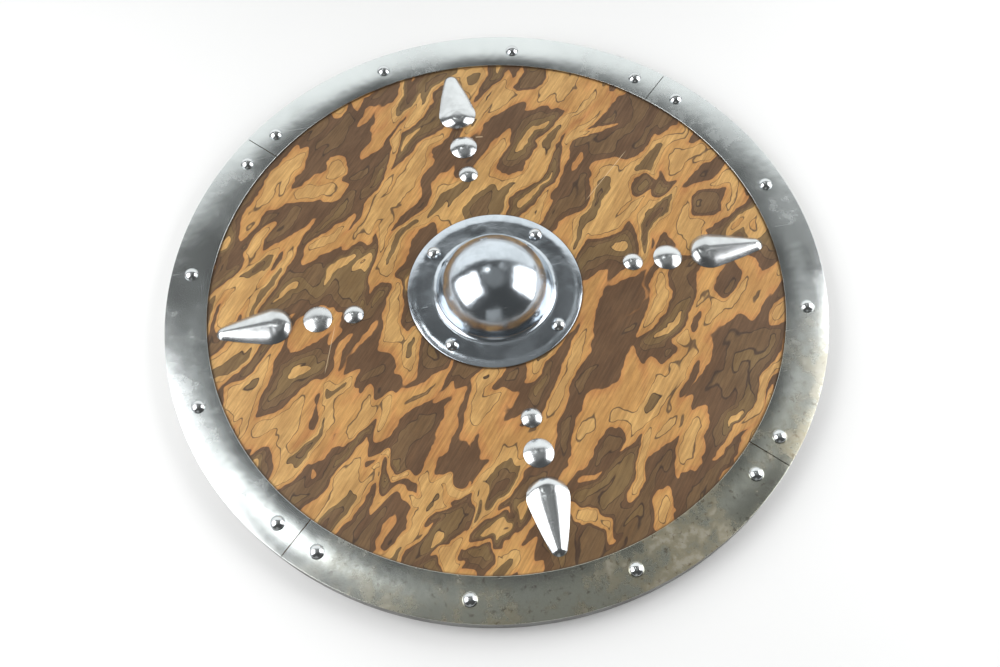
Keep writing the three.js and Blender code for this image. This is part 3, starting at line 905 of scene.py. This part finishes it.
def make_boss():
    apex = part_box("boss")[1].z
    shape = (54 * MM, apex, 6.5 * MM, FLANGE_RADIUS)
    lip = 0.4 * MM
    edge = [
        (FLANGE_RADIUS - lip, SHEET_BOTTOM), (FLANGE_RADIUS - 0.1 * MM, SHEET_BOTTOM + lip / 2),
        (FLANGE_RADIUS, SHEET_BOTTOM + lip), (FLANGE_RADIUS, SHEET_TOP - lip),
        (FLANGE_RADIUS - 0.1 * MM, SHEET_TOP - lip / 2), (FLANGE_RADIUS - lip, SHEET_TOP),
    ]
    profile = [*boss_face(SHEET, *shape), *edge, *reversed(boss_face(0, *shape))]
    boss = turned("boss_dome_and_flange", profile, 180, "boss_steel")
    keep(boss, "boss_steel", "boss")


# ------------------------------------------------------------------ ornaments


def row_direction(i):
    """Angle that a row of ornaments runs at, outwards."""
    start, end = middle_of(SMALL_STUDS[i]), middle_of(TEARDROPS[i])
    return math.atan2(end.y - start.y, end.x - start.x)


def make_studs(name, nodes, curve):
    """Domed sheet heads with a soft edge; the underside is closed over the nail."""
    lows, highs = zip(*(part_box(node) for node in nodes))
    radius = max(high.x - low.x for low, high in zip(lows, highs)) / 2
    top = highs[0].z
    angle = math.degrees(math.acos(radius / curve))
    dome = arc(0, top - curve, curve, angle, 90, 12)
    under = SHEET_BOTTOM - 0.1 * MM
    profile = [(0, under + 0.3 * MM), (radius - 0.9 * MM, under + 0.3 * MM), (radius - 0.6 * MM, under),
               (radius - 0.15 * MM, under), (radius, under + 0.2 * MM), *dome[:-1], (0, dome[-1][1])]
    stud = turned(name + "_pattern", profile, 40, "stud_steel")
    middles = [middle_of(node) for node in nodes]
    places = [(p.x, p.y, 0) for p in middles]
    turns = [row_direction(i) for i in range(len(nodes))]
    studs = set_out(name, stud, places, turns, "stud_steel")
    keep(studs, "stud_steel", *nodes)


def teardrop_mesh(rings=14, round_steps=28, side_steps=10, tip_steps=14):
    """One pressed teardrop about the middle of its length, with its round end towards -X."""
    round_r, tip_r, length = 18.5 * MM, 7.2 * MM, 69.6 * MM
    round_rise, tip_rise = 7.4 * MM, 4.0 * MM
    tip = length - tip_r
    lean = math.degrees(math.asin((round_r - tip_r) / (tip - round_r)))

    def sweep(centre, radius, start, end, steps):
        return [(x, y, centre) for x, y in arc(centre, 0, radius, start, end, steps)]

    tip_arc = sweep(tip, tip_r, lean - 90, 90 - lean, tip_steps)
    round_arc = sweep(round_r, round_r, 90 - lean, 270 + lean, round_steps)

    def side(start, end):
        points = []
        for share in np.linspace(0, 1, side_steps + 1)[1:-1]:
            x, y, spine = (a + (b - a) * share for a, b in zip(start, end))
            swell = 0.5 * MM * math.sin(math.pi * share) * math.copysign(1, start[1])
            points.append((x, y + swell, spine))
        return points

    outline = [*tip_arc, *side(tip_arc[-1], round_arc[0]), *round_arc, *side(round_arc[-1], tip_arc[0])]

    def height(x, spine, spread):
        towards_end = max(0, (spine - x) / round_r)
        share = (spine - round_r) / (tip - round_r)
        rise = round_rise + (tip_rise - round_rise) * share
        return rise * (1 - spread ** (2 + 3 * towards_end ** 2))

    vertices = []
    for ring in range(rings):
        spread = 1 - ring / (rings - 1)
        for x, y, spine in outline:
            z = SHEET_BOTTOM + height(x, spine, spread)
            vertices.append((spine + (x - spine) * spread - length / 2, y * spread, z))
    count = len(outline)
    faces = []
    for ring in range(rings - 1):
        for i in range(count):
            j = (i + 1) % count
            a, b = ring * count, (ring + 1) * count
            faces.append((a + i, a + j, b + j, b + i))
    low = len(vertices)
    skirt = 0.12 * MM
    vertices += [(x - length / 2, y, SHEET_BOTTOM - skirt) for x, y, _ in outline]
    faces += [(low + (i + 1) % count, (i + 1) % count, i, low + i) for i in range(count)]
    faces.append(tuple(low + i for i in reversed(range(count))))
    drop = mesh_object("teardrop_pattern", vertices, faces)
    face_outwards(drop.data)
    return drop


def make_teardrops():
    """One teardrop at the end of each row, pointing outwards."""
    drop = teardrop_mesh()
    places, turns = [], []
    for i, node in enumerate(TEARDROPS):
        middle = middle_of(node)
        places.append((middle.x, middle.y, 0))
        turns.append(row_direction(i))
    drops = set_out("teardrop_plates", drop, places, turns, "teardrop_steel")
    keep(drops, "teardrop_steel", *TEARDROPS)


# ------------------------------------------------------------------ grip


def make_grip(steps=72):
    """Wooden bar with rounded edges, thicker where the hand closes on it."""
    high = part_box("grip")[1]
    half = high.x
    half_width = high.y
    end_height, middle_height = 8 * MM, high.z
    shoulder_start, shoulder_end = HAND_HOLE - 1 * MM, HAND_HOLE - 16 * MM
    corner = 3.6 * MM
    vertices, count = [], 0
    for x in np.linspace(-half, half, steps + 1):
        t = min(max((shoulder_start - abs(x)) / (shoulder_start - shoulder_end), 0), 1)
        height = end_height + (middle_height - end_height) * t * t * (3 - 2 * t)
        end_round = 0.4 * MM if half - abs(x) < 1e-6 else 0.0
        rounded = softened([
            (-half_width + end_round, end_round), (half_width - end_round, end_round),
            (half_width - end_round, height - end_round), (-half_width + end_round, height - end_round)],
            corner, 5)
        count = len(rounded)
        vertices += [(x, y, z) for y, z in rounded]
    faces = []
    for step in range(steps):
        for i in range(count):
            j = (i + 1) % count
            a, b = step * count, (step + 1) * count
            faces.append((a + i, a + j, b + j, b + i))
    faces.append(tuple(range(count)))
    faces.append(tuple(steps * count + i for i in reversed(range(count))))
    grip = mesh_object("grip_bar", vertices, faces)
    face_outwards(grip.data)
    hole = turned("screw_hole", [
        (0, -1 * MM), (SCREW_HEAD + 0.2 * MM, -1 * MM), (SCREW_HEAD + 0.2 * MM, 0.5 * MM),
        (2 * MM, 3.2 * MM), (2 * MM, 7 * MM), (0, 7.2 * MM)], 32, "grip_wood")
    marks = [(middle_of(node).x, middle_of(node).y, 0) for node in SCREWS]
    mesh = cut_away(grip, [set_out("screw_holes", hole, marks, [0.0] * len(marks), "grip_wood")])
    mesh.materials.clear()
    mesh.materials.append(finishes["grip_wood"])
    for face in mesh.polygons:
        face.material_index = 0
    keep(grip, "grip_wood", "grip")


def make_screws():
    """Countersunk heads in the back of the grip, each with a slot."""
    recess = 0.2 * MM
    profile = [
        (0, recess), (SCREW_HEAD - 0.2 * MM, recess), (SCREW_HEAD, recess + 0.2 * MM),
        (1.8 * MM, recess + 2.7 * MM), (1.8 * MM, 10 * MM), (0, 12 * MM)]
    for node, turn in zip(SCREWS, (25, -40)):
        middle = middle_of(node)
        screw = turned(node.replace("grip_screw", "slotted_screw"), profile, 32, "screw_steel")
        half_length, half_width, depth = 6 * MM, 0.5 * MM, 1.0 * MM
        slot = box_shape("slot_cutter", (-half_length, -half_width, -depth),
                         (half_length, half_width, recess + depth))
        mesh = cut_away(screw, [slot])
        turning = Quaternion((0, 0, 1), math.radians(turn)).to_matrix()
        mesh.transform(turning.to_4x4())
        for vertex in mesh.vertices:
            vertex.co += Vector((middle.x, middle.y, 0))
        keep(screw, "screw_steel", node)


# ------------------------------------------------------------------ studio


def make_floor():
    """Pale floor, just below the back of the shield."""
    half, level = 1.7, -0.2 * MM
    floor = mesh_object(
        "floor",
        [(-half, -half, level), (half, -half, level), (half, half, level), (-half, half, level)],
        [(0, 1, 2, 3)])

    def pale(tree):
        cloth = tree.noise(tree.place(), 3.0, 2.0)
        return {"Base Color": tree.mixed(cloth, (0.86, 0.86, 0.86, 1), (0.83, 0.83, 0.83, 1))}

    finish = new_finish("pale_floor", pale, Roughness=0.8, Specular_IOR_Level=0.1)
    floor.data.materials.append(finish)


def make_room():
    """Dim room with a pale sheet beyond the shield and one small ceiling lamp."""
    world = bpy.data.worlds.new("studio")
    bpy.context.scene.world = world
    world.use_nodes = True
    tree = Tree(world.node_tree)
    background = tree.nodes["Background"]
    axes = tree.node("ShaderNodeSeparateXYZ", None, {0: tree.node("ShaderNodeTexCoord").outputs["Generated"]})
    x, y, z = (Value(tree, axes.outputs[i]) for i in range(3))
    from_zenith = tree.number("ShaderNodeMath", {"operation": "ARCCOSINE"}, {0: z}) * math.degrees(1)
    level_length = (x * x + y * y + 1e-6) ** 0.5
    east = from_zenith * x / level_length
    north = from_zenith * y / level_length

    def panel(left, right, bottom, top, soft, slope=0.0):
        raised = north + east * slope
        inside = tree.span(east, left - soft, left + soft) * tree.span(east, right - soft, right + soft, 1, 0)
        inside = inside * tree.span(raised, bottom - soft, bottom + soft)
        return inside * tree.span(north, top - soft, top + soft, 1, 0)

    wall = tree.span(from_zenith, 13, 27)
    brightness = 0.30 - wall * 0.21
    sheet = panel(-75, 80, 37.5, 140, 2.5, 0.13)
    doorway = panel(-32, 0, -86, -62, 3)
    lamp_distance = ((east + 11) ** 2 + (north - 18) ** 2) ** 0.5
    lamp = tree.span(lamp_distance, 2, 6.5, 1, 0)
    glow_distance = ((east - 20) ** 2 + (north - 20) ** 2) ** 0.5
    glow = tree.span(glow_distance, 2, 9, 1, 0)
    brightness = brightness + sheet * 1.3 + doorway * 0.4 + lamp * 4.6 + glow * 0.9
    below = tree.span(z, -0.03, 0.0, 1, 0)
    brightness = brightness * (1 - below) + below * 1.0
    seen = tree.node("ShaderNodeLightPath").outputs["Is Camera Ray"]
    brightness = brightness * (1 - Value(tree, seen)) + Value(tree, seen) * 1.2
    tree.links.new(brightness.socket, background.inputs["Strength"])
    background.inputs["Color"].default_value = (0.98, 1.0, 0.985, 1)


def add_softbox(name, east, north, distance, width, height, radiance):
    """Square light that faces the shield; east and north are degrees from overhead."""
    zenith = math.radians(math.hypot(east, north))
    heading = math.atan2(north, east)
    away = Vector((
        math.sin(zenith) * math.cos(heading), math.sin(zenith) * math.sin(heading), math.cos(zenith)))
    lamp = bpy.data.lights.new(name, "AREA")
    lamp.shape = "RECTANGLE"
    lamp.size, lamp.size_y = width, height
    lamp.energy = radiance * width * height * math.pi
    made = bpy.data.objects.new(name, lamp)
    made.location = away * distance
    made.rotation_mode = "QUATERNION"
    made.rotation_quaternion = away.to_track_quat("Z", "Y")
    made.visible_camera = False
    bpy.context.scene.collection.objects.link(made)


def add_camera():
    """Looks down at the shield from in front and slightly to the left."""
    data = bpy.data.cameras.new("camera")
    data.sensor_width = 36
    data.lens = 36.37
    made = bpy.data.objects.new("camera", data)
    bpy.context.scene.collection.objects.link(made)
    eye = Vector((-68.4, -452.0, 835.2)) * MM
    aim = Vector((-4.6, -47.2, 16.9)) * MM
    roll = math.radians(-2.67)
    made.rotation_mode = "QUATERNION"
    made.location = eye
    facing = (aim - eye).to_track_quat("-Z", "Y")
    made.rotation_quaternion = facing @ Quaternion((0, 0, 1), roll)
    bpy.context.scene.camera = made


# ------------------------------------------------------------------ the shield and its studio

make_board()
for strip in STRIPS:
    make_strip(strip)
make_edge_band()
make_rivets("rim_rivet_heads", RIM_RIVETS, 1)
make_rivets("boss_rivet_heads", BOSS_RIVETS, 2)
make_boss()
make_studs("small_stud_heads", SMALL_STUDS, 12.5 * MM)
make_studs("large_stud_heads", LARGE_STUDS, 21.7 * MM)
make_teardrops()
make_grip()
make_screws()

make_floor()
make_room()
add_softbox("left_softbox", -53, -2, 1.35, 1.2, 1.2, 4.0)
add_softbox("right_softbox", 61, -7, 1.35, 1.1, 1.2, 4.0)
add_camera()
bpy.context.scene.view_settings.view_transform = "Standard"
